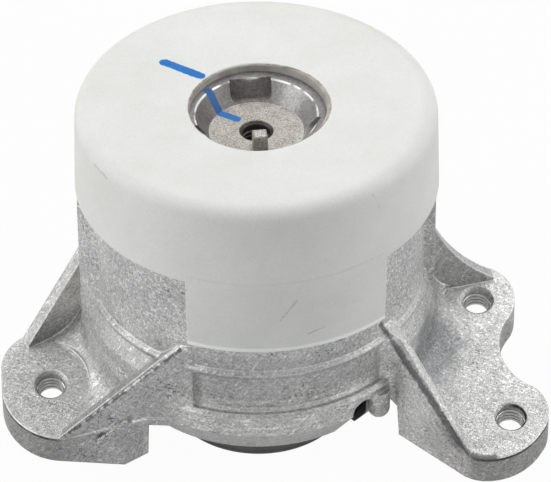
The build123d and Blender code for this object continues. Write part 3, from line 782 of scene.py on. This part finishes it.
# Painted shade: the bore is darker.
bore_shade = zone(insert_zinc, height=(103.7, 103.55))
insert_stroke = stroke(insert_zinc, [(-10.4, 8.4), (-5.8, 5.7)], pen_width)
zinc_color = layered(
    insert_zinc,
    blend(insert_zinc, 1.0, zinc_tone, speckle, TINT),
    (
        # Painted shade in the bore.
        (bore_shade, 1.0, (0.2, 0.19, 0.18), TINT),
        (insert_stroke, 1.0, blue_paint, COVER),
    ),
)
to_shader(insert_zinc, "Base Color", zinc_color)
to_shader(insert_zinc, "Metallic", step(insert_zinc, insert_stroke, 0.0, 1.0, 0.4, 0.0))
to_shader(insert_zinc, "Normal", bump(insert_zinc, noise(insert_zinc, 1500, 3), 0.04 * MM))
print("Made", insert_zinc.name)

# %% [markdown]
# ## Finishes of the parts inside and below
#
# The bottom cover is dark painted steel. Inside are black rubber, black nylon,
# phosphated steel and bright turned steel. They are seldom seen, but each still gets its
# own grain, because the part may be opened up in another scene.

# %% Cover, rubber, nylon and steel
def grained(name, dark, light, scale, roughness, metallic=0.0, relief_height=0.03):
    """A finish of two tones in fine grain with a slight relief, in millimetres."""
    material = new_finish(name, light, roughness, metallic)
    color = ramp(material, noise(material, scale, 4, 0.6), ((0.3, dark), (0.7, light)))
    to_shader(material, "Base Color", color)
    relief = bump(material, noise(material, 4 * scale, 2), relief_height * MM)
    to_shader(material, "Normal", relief)
    return material


cover_paint = grained("cover_paint", (0.1, 0.097, 0.094), (0.16, 0.155, 0.15), 300, 0.5)
spring_rubber = grained(
    "spring_rubber", (0.018, 0.018, 0.018), (0.032, 0.032, 0.031), 500, 0.75
)
black_nylon = grained("black_nylon", (0.011, 0.011, 0.011), (0.02, 0.02, 0.02), 700, 0.6)
phosphated_steel = grained(
    "phosphated_steel", (0.03, 0.03, 0.029), (0.055, 0.054, 0.052), 600, 0.55, 0.3, 0.02
)
turned_steel = grained(
    "turned_steel", (0.42, 0.41, 0.4), (0.58, 0.57, 0.55), 900, 0.35, 0.9, 0.01
)
print("Made five finishes of two tones")

# %% [markdown]
# ## Finishes on the CAD nodes
#
# Each node of the CAD is an object of its own and takes one finish. The pieces that the
# list leaves out are all rubber.

# %% Finishes on the CAD nodes
finish_of = {
    "housing": casting,
    "heat_shield_cap": cap_rubber,
    "core": core_metal,
    "core_insert": insert_zinc,
    "bottom_cover": cover_paint,
    "upper_channel_plate": black_nylon,
    "lower_channel_plate": black_nylon,
    "outer_ring": turned_steel,
    "stop_ring": turned_steel,
    "bellows_ring": phosphated_steel,
    "locating_pins": turned_steel,
}
for name, node in nodes.items():
    node.data.materials.clear()
    node.data.materials.append(finish_of.get(name, spring_rubber))
print({name: node.data.materials[0].name for name, node in nodes.items()})

# %% [markdown]
# ## Thread turns
#
# The four holes are tapped M10. A thread is one profile carried round an axis
# while it climbs by one pitch a turn, which is what the Screw modifier does, so a single
# small triangle makes each thread. The turns are closed tubes whose backs lie
# in the hole's wall.

# %% Thread turns
thread_pitch = 1.5 * MM
thread_depth = 0.5 * MM
thread_bite = 0.1 * MM
profile_height = 0.98 * thread_pitch
steps_a_turn = 40
cut_metal = grained(
    "cut_metal", (0.66, 0.66, 0.65), (0.85, 0.85, 0.83), 600, 0.3, 0.9, 0.01
)
thread_steel = grained(
    "thread_steel", (0.14, 0.13, 0.12), (0.24, 0.225, 0.21), 900, 0.4, 0.6, 0.01
)


def thread_profile(name, radius, low):
    """A triangle beside the Z axis, its tip inward and its back in the wall."""
    middle = (radius + thread_bite, 0, low)
    bpy.ops.object.select_all(action="DESELECT")
    bpy.ops.mesh.primitive_circle_add(
        vertices=3, radius=thread_pitch / 2, location=middle, rotation=(pi / 2, 0, 0)
    )
    ring = bpy.context.object
    ring.name = name
    bpy.ops.object.transform_apply(location=True, rotation=True, scale=True)
    bpy.ops.object.mode_set(mode="EDIT")
    bpy.ops.mesh.select_all(action="SELECT")
    bpy.ops.transform.rotate(value=pi / 2, orient_axis="Y", center_override=middle)
    bpy.ops.object.mode_set(mode="OBJECT")
    # The corner nearest to the axis becomes the tip, and the other two are the back.
    tip, *back = sorted(ring.data.vertices, key=lambda vertex: vertex.co.x)
    tip.co = (radius - thread_depth, 0, low)
    for corner, side in zip(back, (-0.5, 0.5)):
        corner.co = (radius + thread_bite, 0, low + side * profile_height)
    return ring


def thread_turns(name, mount, start, turns, material):
    """Turns of thread round a threaded hole's axis, from start metres above its middle."""
    ring = thread_profile(name, mount["dims"]["r_mm"] * MM, start - turns * thread_pitch)
    bpy.ops.object.modifier_add(type="SCREW")
    screw = ring.modifiers[-1]
    screw.axis = "Z"
    screw.angle = 2 * pi
    screw.screw_offset = thread_pitch
    screw.iterations = turns
    screw.steps = steps_a_turn
    screw.render_steps = steps_a_turn
    bpy.ops.object.modifier_apply(modifier=screw.name)
    bpy.ops.object.mode_set(mode="EDIT")
    bpy.ops.mesh.select_all(action="SELECT")
    bpy.ops.mesh.normals_make_consistent(inside=False)
    bpy.ops.object.mode_set(mode="OBJECT")
    axis = Vector(mount["axis"])
    if axis.z < 0:
        axis = -axis
    lean = Vector((0, 0, 1)).rotation_difference(axis).to_matrix().to_4x4()
    ring.matrix_world = Matrix.Translation(Vector(mount["pos_m"])) @ lean
    bpy.ops.object.transform_apply(location=True, rotation=True, scale=True)
    ring.data.materials.append(material)
    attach(ring, "root")
    return ring


for name, start, turns, metal, slot in (
    ("left_foot_thread", 2.6 * MM, 4, cut_metal, "housing"),
    ("back_right_foot_thread", 2.6 * MM, 4, cut_metal, "housing"),
    ("front_right_foot_thread", 2.6 * MM, 4, cut_metal, "housing"),
    ("core_thread", 12.6 * MM, 16, thread_steel, "core_insert"),
):
    turns_piece = thread_turns(name + "_turns", mounts[name], start, turns, metal)
    print("Made", turns_piece.name, "with", turns, "turns")

# %% [markdown]
# ## Floor
#
# A catalogue photograph has a white ground and a soft shadow. The floor is a pale
# plane that glows for the camera, so that it looks white but keeps some of the shadow.
# Metal mirrors its surroundings, and a wholly white room would make it flat, so rays
# that reach the floor by way of metal find it darker.

# %% Floor
floor_size = 6
floor_gap = 0.1 * MM
floor_place = (0, 0, cad_box[0][2] - floor_gap)
bpy.ops.object.select_all(action="DESELECT")
bpy.ops.mesh.primitive_plane_add(size=floor_size, location=floor_place)
floor = bpy.context.object
floor.name = "floor"
floor_white = new_finish("floor_white", (0.6, 0.6, 0.6), 0.9)


def seen_directly(material, mirrored=1.0):
    """1 for rays from the camera or through glass, mirrored for those by way of metal."""
    path = add_node(material, "ShaderNodeLightPath").outputs
    direct = arithmetic(material, "ADD", path["Is Camera Ray"], path["Is Transmission Ray"])
    metal = arithmetic(material, "MULTIPLY", path["Is Glossy Ray"], mirrored)
    return arithmetic(material, "MINIMUM", arithmetic(material, "ADD", direct, metal), 1.0)


def mix_to_surface(material, output_name, factor, first, second):
    """Two shaders mixed by a factor and joined to the output node."""
    inputs = [(0, factor), (1, first.outputs[0]), (2, second.outputs[0])]
    mix = add_node(material, "ShaderNodeMixShader", inputs)
    surface = material.node_tree.nodes[output_name].inputs["Surface"]
    material.node_tree.links.new(mix.outputs[0], surface)


glow_share = 0.965
floor_glow = arithmetic(
    floor_white, "MULTIPLY", seen_directly(floor_white, mirrored=0.55), glow_share
)
matt = floor_white.node_tree.nodes["Principled BSDF"]
glow = add_node(floor_white, "ShaderNodeEmission", [("Strength", 1.0)])
mix_to_surface(floor_white, "Material Output", floor_glow, matt, glow)
floor.data.materials.append(floor_white)
print("Floor at z =", round(floor.location.z, 4))

# %% [markdown]
# ## Background
#
# The world is white for the camera and a weak, cool sky for the shadows. In the metal's
# reflections it is darker toward the front and lighter toward the back, which gives the
# can its shading.

# %% World
world = bpy.data.worlds.new("studio")
bpy.context.scene.world = world
world.use_nodes = True
soft_sky = world.node_tree.nodes["Background"]
soft_sky.inputs["Color"].default_value = (0.9, 0.93, 1.0, 1)
soft_sky.inputs["Strength"].default_value = 0.3
white = add_node(world, "ShaderNodeBackground", [("Strength", 1.0)])
direction = parts_of(world, add_node(world, "ShaderNodeTexCoord").outputs["Generated"])
raised = arithmetic(world, "MULTIPLY", direction["Z"], 0.7)
toward_back = arithmetic(world, "ADD", direction["Y"], raised)
backdrop = step(world, toward_back, -0.55, 0.0, 0.3, 1.0)
mix_to_surface(world, "World Output", seen_directly(world, backdrop), soft_sky, white)
print("World:", world.name)

# %% [markdown]
# ## Lamps
#
# A large lamp above and behind lights the cap. The strongest lamp stands far out on the
# left and draws the feet's tops and ribs, and a weaker one on the right opens the
# shadows of the forked foot.

# %% Lamps
mount_middle = Vector((0, 0, 0.06))


def lamp(name, place, size, power):
    """A square area lamp aimed at the middle of the mount."""
    bpy.ops.object.select_all(action="DESELECT")
    bpy.ops.object.light_add(type="AREA", location=place)
    light = bpy.context.object
    light.name = name
    light.data.size = size
    light.data.energy = power
    aim = mount_middle - Vector(place)
    light.rotation_euler = aim.to_track_quat("-Z", "Y").to_euler()
    print("Lamp", name, "of", power, "W")
    return light


lamp("top_lamp", (0.15, 0.6, 1.5), 1.2, 13.5)
lamp("left_lamp", (-1.7, -0.45, 0.8), 0.9, 17)
lamp("right_lamp", (1.7, -0.3, 0.7), 0.8, 10.5)
